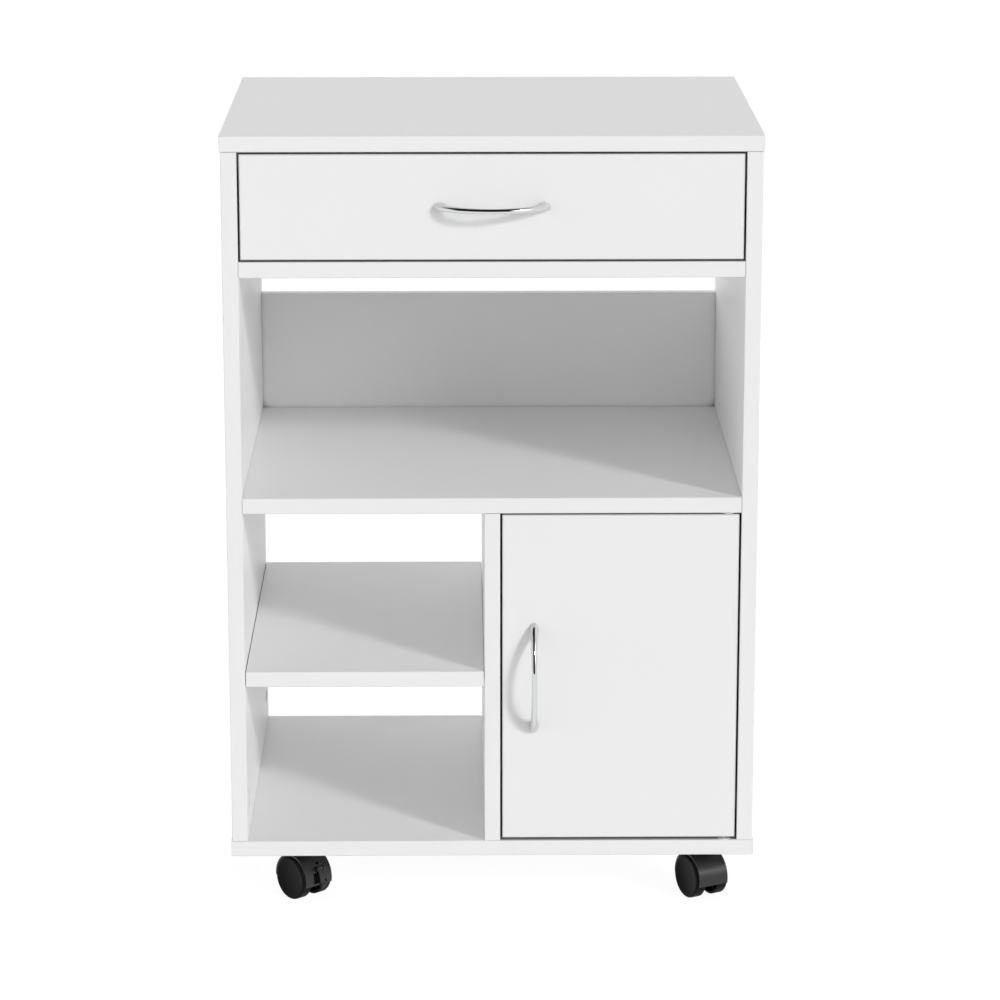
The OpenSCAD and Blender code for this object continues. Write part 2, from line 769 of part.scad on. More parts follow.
module bow_handle() {
  n = bow_sides;
  difference() {
    polyhedron(
      points = [for (i = [0:bow_steps]) each bow_ring(i)],
      faces = concat(
        [[for (j = [0:n - 1]) j]],
        [[for (j = [n - 1:-1:0]) bow_steps * n + j]],
        [for (i = [0:bow_steps - 1], j = [0:n - 1])
          each [[i * n + j, (i + 1) * n + j, i * n + (j + 1) % n],
                [i * n + (j + 1) % n, (i + 1) * n + j, (i + 1) * n + (j + 1) % n]]]
      )
    );
    for (s = [-1, 1]) translate([s * handle_centres / 2, 0.01, 0]) rotate([90, 0, 0])
      bore(handle_screw_d + 2 * seat_gap, handle_screw_in + screw_end_gap);
  }
}

module drawer_handle() {
  color("silver") translate([0, front_y, drawer_mid_z]) bow_handle();
}

module door_handle() {
  color("silver") translate([door_left_x + door_handle_inset, front_y, door_mid_z])
    rotate([0, 90, 0]) bow_handle();
}

module handle_screw() {
  translate([0, board_t, 0]) rotate([-90, 0, 0]) difference() {
    screw(handle_screw_d, board_t + handle_screw_in, handle_head_d, handle_head_h);
    translate([0, 0, handle_head_h - 1]) screw_drive(handle_drive, 2);
  }
}

module drawer_handle_screws() {
  color("silver") for (s = [-1, 1]) translate([s * handle_centres / 2, front_y, drawer_mid_z])
    handle_screw();
}

module door_handle_screws() {
  color("silver") for (s = [-1, 1])
    translate([door_left_x + door_handle_inset, front_y, door_mid_z + s * handle_centres / 2])
      handle_screw();
}

// Door and its pivots

module door_panel() {
  color("white") difference() {
    front_board(door_left_x, door_right_x, door_low_z, door_high_z);
    handle_screw_cuts(door_left_x + door_handle_inset, door_mid_z, true);
    for (z = [door_low_z - 1, door_high_z - pivot_boss_h]) translate([pivot_x, pivot_y, z])
      bore(pivot_pin_d + 2 * pivot_boss_wall + 2 * seat_gap, pivot_boss_h + 1);
    for (dx = [-strike_hole_x, strike_hole_x]) translate([strike_x + dx, front_y + board_t + 0.01, strike_z])
      rotate([90, 0, 0]) bore(strike_hole_d, strike_hole_l);
  }
}

// A pivot has a boss let into the door's end and a pin that stands in the bush.
module door_pivot(gap) {
  bore(pivot_pin_d + 2 * pivot_boss_wall, pivot_boss_h - bush_end_gap);
  rotate([180, 0, 0]) bore(pivot_pin_d, gap + pivot_pin_reach);
}

module door_pivots() {
  color("silver") {
    translate([pivot_x, pivot_y, door_low_z]) door_pivot(door_bottom_gap);
    translate([pivot_x, pivot_y, door_high_z]) rotate([180, 0, 0]) door_pivot(door_top_gap);
  }
}

module bush_cut(z, turn) {
  translate([pivot_x, pivot_y, z]) rotate([turn, 0, 0]) translate([0, 0, -0.01])
    bore(pivot_pin_d + 2 * bush_wall + 2 * seat_gap, pivot_pin_reach + bush_floor + bush_end_gap);
}

module pivot_bush() {
  difference() {
    union() {
      bore(pivot_pin_d + 2 * bush_wall, pivot_pin_reach + bush_floor);
      translate([0, 0, -bush_flange_t]) bore(pivot_pin_d + 2 * bush_wall + 2 * bush_flange_w, bush_flange_t);
    }
    translate([0, 0, -bush_flange_t - 1])
      bore(pivot_pin_d + 2 * turn_gap, bush_flange_t + 1 + pivot_pin_reach + bush_end_gap);
  }
}

module pivot_bushes() {
  color("gainsboro") {
    translate([pivot_x, pivot_y, floor_z]) rotate([180, 0, 0]) pivot_bush();
    translate([pivot_x, pivot_y, printer_shelf_z]) pivot_bush();
  }
}

// Magnet catch under the shelf and its strike on the door
catch_w = 32;
catch_h = 13;
catch_d = 14;
catch_ear_w = 4;
catch_ear_h = 3;
catch_hole_x = catch_w * 0.36;
catch_hole_d = 3.4;
catch_screw_in = 10;
strike_w = 26;
strike_h = 11;
strike_t = 1.2;
strike_hole_x = 8;
strike_hole_d = 2.6;
strike_hole_l = 8;
strike_inset = 26;
strike_x = door_left_x + strike_inset;
strike_z = printer_shelf_z - catch_h / 2;
catch_y = front_y + board_t + strike_t;

module catch_screw_cuts() {
  for (s = [-1, 1]) translate([strike_x + s * catch_hole_x, catch_y + catch_d / 2, printer_shelf_z - 0.01])
    bore(catch_hole_d - 2 * seat_gap, catch_screw_in);
}

module magnet_catch() {
  color("white") difference() {
    translate([strike_x - catch_w / 2, catch_y, printer_shelf_z - catch_h])
      cube([catch_w, catch_d, catch_h]);
    for (s = [-1, 1]) {
      translate([strike_x + s * catch_hole_x, catch_y + catch_d / 2, printer_shelf_z - catch_h - 1])
        bore(catch_hole_d, catch_h + 2);
      translate([strike_x + s * catch_w / 2 - catch_ear_w, catch_y - 1, printer_shelf_z - catch_h - 1])
        cube([2 * catch_ear_w, catch_d + 2, catch_h + 1 - catch_ear_h]);
    }
  }
}

module catch_strike() {
  color("silver") difference() {
    translate([strike_x - strike_w / 2, front_y + board_t, strike_z - strike_h / 2])
      cube([strike_w, strike_t, strike_h]);
    for (dx = [-strike_hole_x, strike_hole_x])
      translate([strike_x + dx, front_y + board_t + strike_t + 1, strike_z])
        rotate([90, 0, 0]) bore(strike_hole_d, strike_t + 2);
  }
}

// Casters. Each is drawn at its own swivel, with the wheels towards -y.

plate_screw_inset = 6;
plate_screw_in = plate_w / 2 - plate_screw_inset;
plate_corner_r = 4;
stem_tip = 1;
stem_end_gap = 0.5;

module on_corner(c) {
  translate(corner_pos(c)) rotate([0, 0, corner_turn(c)]) children();
}

module plate_holes(d, z, l) {
  for (x = [-1, 1], y = [-1, 1]) translate([x * plate_screw_in, y * plate_screw_in, z]) bore(d, l);
}

module caster_screw_cuts() {
  for (c = CORNERS) translate(corner_pos(c)) plate_holes(screw_d + 2 * seat_gap, caster_h - 0.01, screw_l);
}

module caster_plates() {
  r = plate_corner_r;
  color("dimgray") for (c = CORNERS) translate(corner_pos(c)) {
    difference() {
      translate([0, 0, plate_low_z]) union() {
        for (a = [0, 90]) rotate(a) translate([-plate_w / 2, -plate_w / 2 + r, 0])
          cube([plate_w, plate_w - 2 * r, plate_t]);
        for (x = [-1, 1], y = [-1, 1]) translate([x * (plate_w / 2 - r), y * (plate_w / 2 - r), 0])
          bore(2 * r, plate_t);
      }
      plate_holes(screw_d + 2 * screw_hole_gap, plate_low_z - 1, plate_t + 2);
    }
    translate([0, 0, stem_low_z + stem_end_gap + stem_tip])
      bore(stem_d, plate_low_z - stem_low_z - stem_end_gap - stem_tip + 0.01);
    translate([0, 0, stem_low_z + stem_end_gap])
      cylinder(d1 = stem_d - 2 * stem_tip, d2 = stem_d, h = stem_tip + 0.01, $fn = 32);
  }
}

module caster_plate_screws() {
  color("silver") for (c = CORNERS) translate(corner_pos(c))
    for (x = [-1, 1], y = [-1, 1]) translate([x * plate_screw_in, y * plate_screw_in, plate_low_z])
      rotate([180, 0, 0]) screw(screw_d, screw_l, screw_head_d, low_head_h);
}

// Lays a flat outline beside the axle: its x looks to -y and its y looks up from the axle,
// and it is as wide as w, from x0.
module beside_axle(x0, w) {
  translate([x0 + w, -caster_trail, wheel_r]) rotate([90, 0, -90]) linear_extrude(w) children();
}

function polar(r, a) = [r * cos(a), r * sin(a)];

// A slice of a cylinder round the axle, from angle a0 to a1; 0 looks to -y, 90 looks up.
module axle_sector(r0, r1, a0, a1, half_w) {
  beside_axle(-half_w, 2 * half_w) difference() {
    intersection() {
      circle(r = r1, $fn = 96);
      polygon(concat([[0, 0]], [for (i = [0:6]) polar(2 * r1, a0 + (a1 - a0) * i / 6)]));
    }
    circle(r = r0, $fn = 96);
  }
}

hood_low_angle = -12;
hood_back_angle = 186;
web_low_angle = -4;
web_back_angle = 176;
hub_wall = 3;
hub_r = axle_d / 2 + hub_wall;
web_seat = 0.5;
hood_hole_d = 3;
hood_hole_angle = 41;
hood_hole_x = 2;
hood_hole_depth = 2.5;

module hood_web() {
  axle_sector(0.01, well_r + web_seat, web_low_angle, web_back_angle, web_t / 2);
  translate([-web_t / 2, -caster_trail, wheel_r]) rotate([0, 90, 0]) bore(2 * hub_r, web_t);
  translate([-web_t / 2, -caster_trail, stem_low_z - boss_floor])
    cube([web_t, caster_trail, boss_top_z - stem_low_z - boss_floor]);
}

// Moulded hood: a shell over both wheels, a web between them, and the swivel boss at the back
module caster_hood(with_brake) {
  well_w = hood_half_w + 2;
  difference() {
    union() {
      axle_sector(well_r, hood_r, hood_low_angle, hood_back_angle, hood_half_w);
      hood_web();
      translate([0, 0, stem_low_z - boss_floor])
        cylinder(r = boss_r, h = boss_top_z - stem_low_z + boss_floor);
      intersection() {
        translate([-boss_r, -caster_trail, wheel_r])
          cube([2 * boss_r, caster_trail, boss_top_z - 2 * boss_gap - wheel_r]);
        axle_sector(0.01, caster_trail + boss_r, 40, 150, boss_r);
      }
    }
    for (s = [-1, 1]) translate([s * (wheel_in_x - 0.01), -caster_trail, wheel_r]) rotate([0, s * 90, 0])
      cylinder(r = well_r, h = well_w, $fn = 96);
    translate([-web_t, -caster_trail, wheel_r]) rotate([0, 90, 0]) bore(axle_d + 2 * seat_gap, 2 * web_t);
    translate([0, 0, stem_low_z]) bore(stem_d + 2 * turn_gap, boss_top_z - stem_low_z + 1);
    if (with_brake) {
      brake_slot();
      translate([hood_hole_x, -caster_trail, wheel_r]) rotate([90 - hood_hole_angle, 0, 0])
        translate([0, 0, hood_r - hood_hole_depth]) bore(hood_hole_d, hood_hole_depth + 1);
    }
  }
  if (with_brake) brake_ears();
}

wheel_rim = 2.4;
wheel_disc_t = 2.2;
wheel_edge = 1.8;
wheel_inner_edge = 0.6;
wheel_dish = 0.9;
wheel_bevel_w = 4;
rib_t = 1.2;
rib_setback = 2;
axle_end_gap = 0.3;

// Wheel: a closed outer face, a rounded tread and a hollow inner side with six ribs
module caster_wheel(s) {
  hole_r = axle_d / 2 + turn_gap;
  face_z = wheel_t - wheel_dish;
  disc_z = wheel_t - wheel_disc_t;
  e = wheel_inner_edge;
  translate([s * wheel_in_x, -caster_trail, wheel_r]) rotate([0, s * 90, 0]) {
    rotate_extrude($fn = 96) polygon(concat(
      [[0, disc_z], [hole_r, disc_z], [hole_r, 0], [hub_r, 0], [hub_r, disc_z - 0.5], [hub_r + 0.5, disc_z],
       [wheel_r - wheel_rim, disc_z], [wheel_r - wheel_rim, rim_in + e], [wheel_r - wheel_rim + e, rim_in],
       [wheel_r - e, rim_in], [wheel_r, rim_in + e]],
      [for (a = [0:15:90]) [wheel_r, wheel_t] - wheel_edge * [1 - cos(a), 1 - sin(a)]],
      [[wheel_r - wheel_bevel_w, wheel_t - wheel_dish / 3], [wheel_r - wheel_bevel_w - 1, face_z],
       [0, face_z]]
    ));
    for (a = [0:60:300]) rotate(a + 30) translate([hub_r - 0.5, -rib_t / 2, rim_in + rib_setback])
      cube([wheel_r - wheel_rim - hub_r + 1, rib_t, disc_z - rim_in - rib_setback + 0.1]);
  }
}

module caster_axle() {
  l = 2 * (wheel_in_x + wheel_t - wheel_disc_t - axle_end_gap);
  translate([-l / 2, -caster_trail, wheel_r]) rotate([0, 90, 0]) bore(axle_d, l);
}

// Brake: a curved pedal over the hood, hung on a cross pin between two ears. Its shoe passes
// through a slot in the hood, and stops just short of the tread when the pedal is pressed.
brake_t = 1.7;
ear_t = 1.4;
ear_gap = 0.3;
ear_r = 2.6;
knuckle_r = 1.8;
shoe_w = 7.5;
shoe_x = brake_x + shoe_w / 2;
toe_recess_w = 4.6;
toe_recess_x = brake_x - brake_w / 2 - ear_gap - toe_recess_w;
toe_recess_low = -7;
toe_recess_high = 19;
toe_recess_depth = 3;
shoe_tip_r = wheel_r + 1.7;
shoe_low_angle = -10;
shoe_high_angle = -4;

function brake_in_r(a) = let(k = (brake_pin_angle - a) / (brake_pin_angle - brake_low_angle))
  hood_r + 0.7 + 2.1 * k;

module brake_slot() {
  beside_axle(shoe_x - shoe_w / 2 - ear_gap, shoe_w + 2 * ear_gap)
    polygon([polar(well_r - 1, shoe_low_angle - 5), polar(hood_r + 2, shoe_low_angle - 5),
             polar(hood_r + 2, shoe_high_angle + 4), polar(well_r - 1, shoe_high_angle + 4)]);
  beside_axle(toe_recess_x, toe_recess_w)
    polygon([polar(hood_r - toe_recess_depth, toe_recess_low), polar(hood_r + 2, toe_recess_low),
             polar(hood_r + 2, toe_recess_high), polar(hood_r - toe_recess_depth, toe_recess_high)]);
}

module brake_ears() {
  p = polar(brake_pin_r, brake_pin_angle);
  for (s = [-1, 1]) beside_axle(brake_x + s * (brake_w / 2 + ear_gap + ear_t / 2) - ear_t / 2, ear_t)
    difference() {
      union() {
        translate(p) circle(r = ear_r, $fn = 32);
        polygon([polar(well_r + 0.4, brake_pin_angle + 6), polar(brake_pin_r, brake_pin_angle + 5),
                 polar(brake_pin_r, brake_pin_angle - 5), polar(well_r + 0.4, brake_pin_angle - 6)]);
      }
      translate(p) circle(d = brake_pin_d + 2 * turn_gap, $fn = 32);
    }
}

module brake_tab() {
  p = polar(brake_pin_r, brake_pin_angle);
  steps = 6;
  angles = [for (i = [0:steps]) brake_pin_angle + (brake_low_angle - brake_pin_angle) * i / steps];
  beside_axle(brake_x - brake_w / 2, brake_w) {
    polygon(concat(
      [for (a = angles) polar(brake_in_r(a) + brake_t, a)],
      [for (i = [steps:-1:0]) polar(brake_in_r(angles[i]), angles[i])]
    ));
    translate(p) circle(r = knuckle_r, $fn = 32);
  }
  beside_axle(brake_x - brake_w / 2 - ear_gap - ear_t, brake_w + 2 * (ear_gap + ear_t))
    translate(p) circle(d = brake_pin_d, $fn = 32);
  beside_axle(shoe_x - shoe_w / 2, shoe_w)
    polygon([polar(shoe_tip_r, shoe_low_angle), polar(brake_in_r(shoe_low_angle) + 0.5, shoe_low_angle),
             polar(brake_in_r(shoe_high_angle) + 0.5, shoe_high_angle), polar(shoe_tip_r, shoe_high_angle)]);
  beside_axle(brake_x - brake_w / 2, brake_w)
    polygon([polar(brake_in_r(brake_low_angle + 5), brake_low_angle + 5),
             polar(brake_in_r(brake_low_angle) + brake_t + 1.8, brake_low_angle - 1),
             polar(brake_in_r(brake_low_angle) + brake_t + 1.8, brake_low_angle + 2.5),
             polar(brake_in_r(brake_low_angle + 6) + brake_t, brake_low_angle + 8)]);
}

module hood_for(c, with_brake) {
  color("#202020") on_corner(c) caster_hood(with_brake);
}

module wheel_for(c, s) {
  color("#262626") on_corner(c) caster_wheel(s);
}

module axle_for(c) {
  color("silver") on_corner(c) caster_axle();
}

module brake_for(c) {
  color("#2c2c2c") on_corner(c) brake_tab();
}

module front_left_hood() { hood_for("front_left", true); }
module front_left_axle() { axle_for("front_left"); }
module front_left_wheel_a() { wheel_for("front_left", -1); }
module front_left_wheel_b() { wheel_for("front_left", 1); }
module front_left_brake() { brake_for("front_left"); }
module front_right_hood() { hood_for("front_right", false); }
module front_right_axle() { axle_for("front_right"); }
module front_right_wheel_a() { wheel_for("front_right", -1); }
module front_right_wheel_b() { wheel_for("front_right", 1); }
module rear_left_hood() { hood_for("rear_left", false); }
module rear_left_axle() { axle_for("rear_left"); }
module rear_left_wheel_a() { wheel_for("rear_left", -1); }
module rear_left_wheel_b() { wheel_for("rear_left", 1); }
module rear_right_hood() { hood_for("rear_right", true); }
module rear_right_axle() { axle_for("rear_right"); }
module rear_right_wheel_a() { wheel_for("rear_right", -1); }
module rear_right_wheel_b() { wheel_for("rear_right", 1); }
module rear_right_brake() { brake_for("rear_right"); }

top_panel();
left_side_panel();
right_side_panel();
bottom_panel();
under_drawer_panel();
printer_shelf();
divider_panel();
left_bay_shelf();
printer_bay_back();
door_bay_back();
shelf_pins();
cam_locks();
cam_bolts();
cam_covers();
wood_dowels();
left_cabinet_runner();
right_cabinet_runner();
cabinet_runner_screws();
left_cabinet_roller();
right_cabinet_roller();
left_drawer_roller();
right_drawer_roller();
drawer_front();
drawer_left_side();
drawer_right_side();
drawer_back();
drawer_bottom();
drawer_handle();
drawer_handle_screws();
left_drawer_runner();
right_drawer_runner();
drawer_runner_screws();
drawer_dowels();
door_panel();
door_handle();
door_handle_screws();
door_pivots();
pivot_bushes();
magnet_catch();
catch_strike();
caster_plates();
caster_plate_screws();
front_left_hood();
front_left_axle();
front_left_wheel_a();
front_left_wheel_b();
front_left_brake();
front_right_hood();
front_right_axle();
front_right_wheel_a();
front_right_wheel_b();
rear_left_hood();
rear_left_axle();
rear_left_wheel_a();
rear_left_wheel_b();
rear_right_hood();
rear_right_axle();
rear_right_wheel_a();
rear_right_wheel_b();
rear_right_brake();
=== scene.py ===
"""Printer cabinet on casters: materials, detailed pieces, light and camera."""
import math

import bmesh
import bpy
from mathutils import Matrix, Vector


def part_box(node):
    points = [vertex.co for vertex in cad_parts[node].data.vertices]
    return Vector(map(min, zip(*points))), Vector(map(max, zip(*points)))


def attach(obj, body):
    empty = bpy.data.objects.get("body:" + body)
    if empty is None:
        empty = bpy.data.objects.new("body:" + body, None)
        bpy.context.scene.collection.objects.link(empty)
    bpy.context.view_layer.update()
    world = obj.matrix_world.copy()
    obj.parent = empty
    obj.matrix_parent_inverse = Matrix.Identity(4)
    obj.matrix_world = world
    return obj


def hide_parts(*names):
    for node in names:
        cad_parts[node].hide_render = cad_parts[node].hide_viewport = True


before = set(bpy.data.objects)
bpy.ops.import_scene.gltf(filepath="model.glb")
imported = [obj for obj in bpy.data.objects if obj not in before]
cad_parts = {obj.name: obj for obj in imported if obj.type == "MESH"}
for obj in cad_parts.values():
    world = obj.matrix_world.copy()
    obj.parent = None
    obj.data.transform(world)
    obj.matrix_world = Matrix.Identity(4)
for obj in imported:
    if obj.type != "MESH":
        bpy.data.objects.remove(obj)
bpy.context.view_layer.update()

FRONT_Y = -0.1865
WHITE = (1, 1, 1, 1)


# Node trees

class Nodes:
    """A node tree with short calls for what every tree here needs."""

    def __init__(self, tree):
        self.tree = tree

    def node(self, kind, **settings):
        n = self.tree.nodes.new(kind)
        for key, value in settings.items():
            setattr(n, key, value)
        return n

    def link(self, a, b):
        self.tree.links.new(a, b)

    def put(self, value, socket):
        """Links the value if it is a socket, and otherwise sets it."""
        if isinstance(value, bpy.types.NodeSocket):
            self.link(value, socket)
        else:
            socket.default_value = value

    def math(self, operation, *values):
        n = self.node("ShaderNodeMath", operation=operation)
        for value, socket in zip(values, n.inputs):
            self.put(value, socket)
        return n.outputs["Value"]

    def axes(self, vector):
        """The sockets X, Y and Z of a vector."""
        n = self.node("ShaderNodeSeparateXYZ")
        self.link(vector, n.inputs["Vector"])
        return n.outputs

    def either_shader(self, factor, shader_at_0, shader_at_1):
        n = self.node("ShaderNodeMixShader")
        self.link(factor, n.inputs["Fac"])
        self.link(shader_at_0, n.inputs[1])
        self.link(shader_at_1, n.inputs[2])
        return n.outputs["Shader"]


# Camera: fitted to the corners of the carcass in the photograph

SENSOR_WIDTH = 36
FOCAL_LENGTH = SENSOR_WIDTH * 3.736
CAMERA_PLACE = (-0.030, -3.579, 1.262)
CAMERA_DOWN_DEGREES = 14.15
CAMERA_TURN_DEGREES = -0.63
FARTHEST_SEEN = 60


def make_camera():
    data = bpy.data.cameras.new("camera")
    data.sensor_width = SENSOR_WIDTH
    data.lens = FOCAL_LENGTH
    data.clip_end = FARTHEST_SEEN
    cam = bpy.data.objects.new("camera", data)
    cam.location = CAMERA_PLACE
    tilt = math.radians(90 - CAMERA_DOWN_DEGREES)
    cam.rotation_euler = (tilt, 0, math.radians(CAMERA_TURN_DEGREES))
    bpy.context.scene.collection.objects.link(cam)
    bpy.context.scene.camera = cam


# Light: a soft key from the front right, a wide fill, and a white floor and background

def from_front(side_degrees, up_degrees):
    """The direction to a lamp that stands to the right of the front and above it."""
    side, up = math.radians(side_degrees), math.radians(up_degrees)
    return (math.sin(side) * math.cos(up), -math.cos(side) * math.cos(up), math.sin(up))


KEY_FROM = from_front(44, 25)
KEY_ENERGY = 0.92
KEY_SPREAD_DEGREES = 7
LOW_KEY_FROM = from_front(44, 17)
LOW_KEY_ENERGY = 0.755
LOW_KEY_SPREAD_DEGREES = 20
LAMP_DISTANCE = 3

# The fill: an even level, and walls that are brightest at the horizon and towards the lean
FILL_LEVEL = 0.33
FILL_WALLS = 1.93
FILL_LEAN = (-1.4, 1.38, 0.0)
WALL_FALL = 3.0

# The room that gloss sees: where its white begins and ends, and its levels
GLOSS_SHIFT = 0.17
GLOSS_SIDES = (0.56, 0.7)
GLOSS_BEHIND = (0.5, 0.8)
GLOSS_LAMP = (0.95, 0.98)
GLOSS_DARK = 0.02
GLOSS_PALE = 0.93
GLOSS_LAMP_LEVEL = 1.2

FLOOR_HALF = 30
FLOOR_COLOUR = (0.8, 0.8, 0.8, 1)
FLOOR_GLOW = 1.13
FLOOR_GLOW_SHARE = 0.82


def make_world():
    world = bpy.data.worlds.new("studio")
    world.use_nodes = True
    w = Nodes(world.node_tree)
    w.tree.nodes.clear()
    out = w.node("ShaderNodeOutputWorld")
    path = w.node("ShaderNodeLightPath")
    ray = w.node("ShaderNodeTexCoord").outputs["Generated"]
    x, y, z = w.axes(ray)

    def along(direction):
        n = w.node("ShaderNodeVectorMath", operation="DOT_PRODUCT")
        n.inputs[1].default_value = direction
        w.link(ray, n.inputs[0])
        return n.outputs["Value"]

    def rising(value, low, high):
        n = w.node("ShaderNodeMapRange", interpolation_type="SMOOTHSTEP")
        n.inputs["From Min"].default_value = low
        n.inputs["From Max"].default_value = high
        w.link(value, n.inputs["Value"])
        return n.outputs["Result"]

    def background(strength):
        n = w.node("ShaderNodeBackground")
        n.inputs["Color"].default_value = WHITE
        w.put(strength, n.inputs["Strength"])
        return n.outputs["Background"]

    # The room is brightest near its walls, behind the object and on its left
    wall = w.math("POWER", w.math("SUBTRACT", 1.0, w.math("ABSOLUTE", z)), WALL_FALL)
    walls = w.math("MULTIPLY", wall, w.math("ADD", along(FILL_LEAN), FILL_WALLS))
    fill = background(w.math("ADD", walls, FILL_LEVEL))

    # What gloss sees: a dark room and ceiling, white at both sides and behind the object,
    # and the large soft lamp that the key stands for
    aside = w.math("ABSOLUTE", w.math("ADD", x, GLOSS_SHIFT))
    pale = w.math("MAXIMUM", rising(aside, *GLOSS_SIDES), rising(y, *GLOSS_BEHIND))
    walls_seen = w.math("ADD", w.math("MULTIPLY", pale, GLOSS_PALE), GLOSS_DARK)
    lamp_seen = w.math("MULTIPLY", rising(along(KEY_FROM), *GLOSS_LAMP), GLOSS_LAMP_LEVEL)
    room = background(w.math("ADD", walls_seen, lamp_seen))

    lighting = w.either_shader(path.outputs["Is Glossy Ray"], fill, room)
    seen = w.either_shader(path.outputs["Is Camera Ray"], lighting, background(1.0))
    w.link(seen, out.inputs["Surface"])
    bpy.context.scene.world = world
    bpy.context.scene.view_settings.view_transform = "Standard"


def make_lamp(name, energy, spread_degrees, direction):
    lamp = bpy.data.lights.new(name, "SUN")
    lamp.energy = energy
    lamp.angle = math.radians(spread_degrees)
    obj = bpy.data.objects.new(name, lamp)
    bpy.context.scene.collection.objects.link(obj)
    obj.location = tuple(LAMP_DISTANCE * v for v in direction)
    obj.rotation_euler = (-obj.location).to_track_quat("-Z", "Y").to_euler()
    return obj


def make_lights():
    """The key's middle, which draws the shadows, and its wide lower part, which fills the bays."""
    make_lamp("key", KEY_ENERGY, KEY_SPREAD_DEGREES, KEY_FROM)
    low_key = make_lamp("low_key", LOW_KEY_ENERGY, LOW_KEY_SPREAD_DEGREES, LOW_KEY_FROM)
    low_key.visible_glossy = False


def make_floor():
    """A pale floor: the camera and gloss see it nearly as white as the background, with the
    object's shadow on it, and other light meets it as plain matt grey."""
    mesh = bpy.data.meshes.new("floor")
    r = FLOOR_HALF
    mesh.from_pydata([(-r, -r, 0), (r, -r, 0), (r, r, 0), (-r, r, 0)], [], [(0, 1, 2, 3)])
    floor = bpy.data.objects.new("floor", mesh)
    bpy.context.scene.collection.objects.link(floor)
    mat = bpy.data.materials.new("floor")
    mat.use_nodes = True
    f = Nodes(mat.node_tree)
    f.tree.nodes.clear()
    out = f.node("ShaderNodeOutputMaterial")
    path = f.node("ShaderNodeLightPath")
    matt = f.node("ShaderNodeBsdfDiffuse")
    matt.inputs["Color"].default_value = FLOOR_COLOUR
    glow = f.node("ShaderNodeEmission")
    glow.inputs["Color"].default_value = WHITE
    glow.inputs["Strength"].default_value = FLOOR_GLOW
    seen = f.math("MAXIMUM", path.outputs["Is Camera Ray"], path.outputs["Is Glossy Ray"])
    share = f.math("MULTIPLY", seen, FLOOR_GLOW_SHARE)
    both = f.either_shader(share, matt.outputs["BSDF"], glow.outputs["Emission"])
    f.link(both, out.inputs["Surface"])
    mesh.materials.append(mat)


# Materials

class Surface(Nodes):
    """A Principled material with helpers for its colour, roughness and bump."""

    def __init__(self, name, colour, roughness, metallic=0.0, specular=0.5):
        self.mat = bpy.data.materials.new(name)
        self.mat.use_nodes = True
        super().__init__(self.mat.node_tree)
        self.bsdf = self.tree.nodes["Principled BSDF"]
        self.bsdf.inputs["Base Color"].default_value = (*colour, 1)
        self.bsdf.inputs["Roughness"].default_value = roughness
        self.bsdf.inputs["Metallic"].default_value = metallic
        self.bsdf.inputs["Specular IOR Level"].default_value = specular
        self.coords = self.node("ShaderNodeTexCoord")

    def scaled(self, scale):
        mapping = self.node("ShaderNodeMapping")
        mapping.inputs["Scale"].default_value = scale
        self.link(self.coords.outputs["Object"], mapping.inputs["Vector"])
        return mapping.outputs["Vector"]

    def noise(self, scale, detail=3.0, stretch=(1, 1, 1), rough=0.5):
        n = self.node("ShaderNodeTexNoise")
        n.inputs["Scale"].default_value = scale
        n.inputs["Detail"].default_value = detail
        n.inputs["Roughness"].default_value = rough
        self.link(self.scaled(stretch), n.inputs["Vector"])
        return n.outputs["Fac"]

    def ramp(self, value, stops):
        n = self.node("ShaderNodeValToRGB")
        elements = n.color_ramp.elements
        while len(elements) < len(stops):
            elements.new(0.5)
        for element, (position, colour) in zip(elements, stops):
            element.position = position
            element.color = (*colour, 1)
        self.link(value, n.inputs["Fac"])
        return n.outputs["Color"]

    def mottled(self, value, low, high):
        """A colour that wanders between two shades."""
        return self.ramp(value, [(0.3, low), (0.7, high)])

    def mixed(self, factor, a, b, blend="MIX"):
        mix = self.node("ShaderNodeMix", data_type="RGBA", blend_type=blend)
        for name, value in (("Factor", factor), ("A", a), ("B", b)):
            self.put(value, mix.inputs[name])
        return mix.outputs["Result"]

    def bump(self, value, strength, distance):
        n = self.node("ShaderNodeBump")
        n.inputs["Strength"].default_value = strength
        n.inputs["Distance"].default_value = distance
        self.link(value, n.inputs["Height"])
        last = self.bsdf.inputs["Normal"]
        if last.links:
            self.link(last.links[0].from_socket, n.inputs["Normal"])
        self.link(n.outputs["Normal"], last)

    def rough(self, value, low, high):
        n = self.node("ShaderNodeMapRange")
        n.inputs["To Min"].default_value = low
        n.inputs["To Max"].default_value = high
        self.link(value, n.inputs["Value"])
        self.link(n.outputs["Result"], self.bsdf.inputs["Roughness"])

    def tone(self, colour_socket):
        self.link(colour_socket, self.bsdf.inputs["Base Color"])

    def paint_gap_shade(self, colour_socket, reach, stops, upward_stops=None):
        """Paints shade into the colour where other surfaces stand close by, as in the gap round a
        door.
        Faces that look up catch more light there, so their painted shade may have stops of its
        own."""
        ao = self.node("ShaderNodeAmbientOcclusion", samples=6)
        ao.inputs["Distance"].default_value = reach
        shade = self.ramp(ao.outputs["AO"], stops)
        if upward_stops:
            facing_up = self.axes(self.node("ShaderNodeNewGeometry").outputs["Normal"])["Z"]
            shade = self.mixed(facing_up, shade, self.ramp(ao.outputs["AO"], upward_stops))
        return self.mixed(1, colour_socket, shade, blend="MULTIPLY")


def grey(v):
    return (v, v, v)
